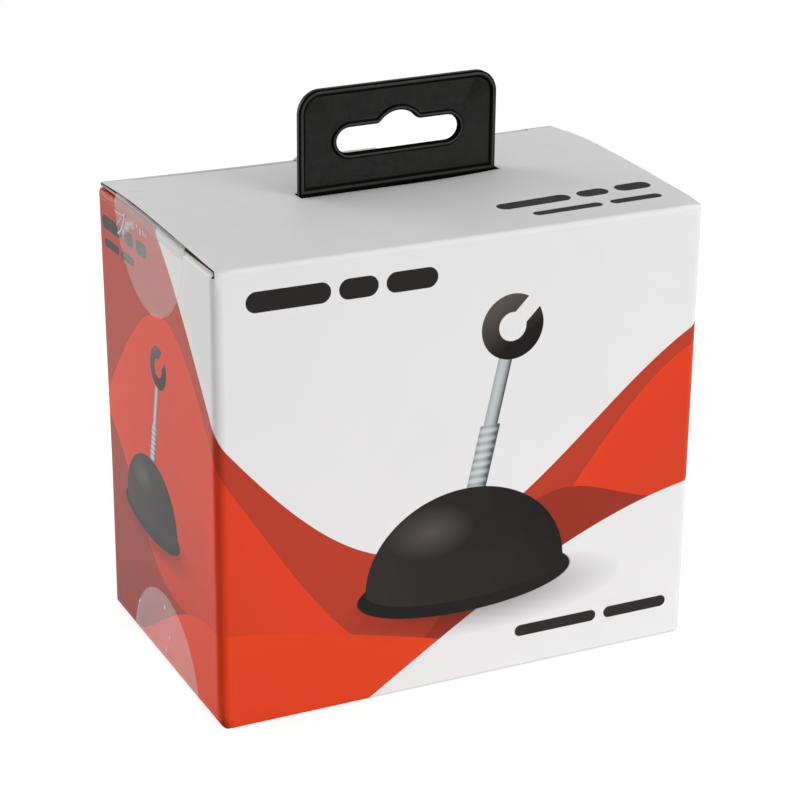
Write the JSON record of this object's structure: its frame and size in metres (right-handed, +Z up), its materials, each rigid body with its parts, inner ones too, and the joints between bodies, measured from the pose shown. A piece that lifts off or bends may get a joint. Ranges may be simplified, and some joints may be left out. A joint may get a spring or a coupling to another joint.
{
  "type": "retail carton with hang tab",
  "caption": "Sealed upright retail carton of folded board with tuck-in end panels, clear round edge seals and a plastic hang tab with a peg slot standing up through its top.",
  "frame": {"origin": "middle of the face that the carton stands on", "axes": "+Z up towards the hang tab, -Y out of the front panel, +X to the right as seen from the front"},
  "size_m": [0.1162, 0.069, 0.1278],
  "materials": {
    "printed_board": "satin",
    "tab_plastic": "matte",
    "seal_film": "gloss"
  },
  "bodies": {
    "root": {"carton": "printed_board", "hang_tab": "tab_plastic", "seal_top_left": "seal_film", "seal_top_right": "seal_film", "seal_bottom_left": "seal_film"}
  },
  "joints": []
}
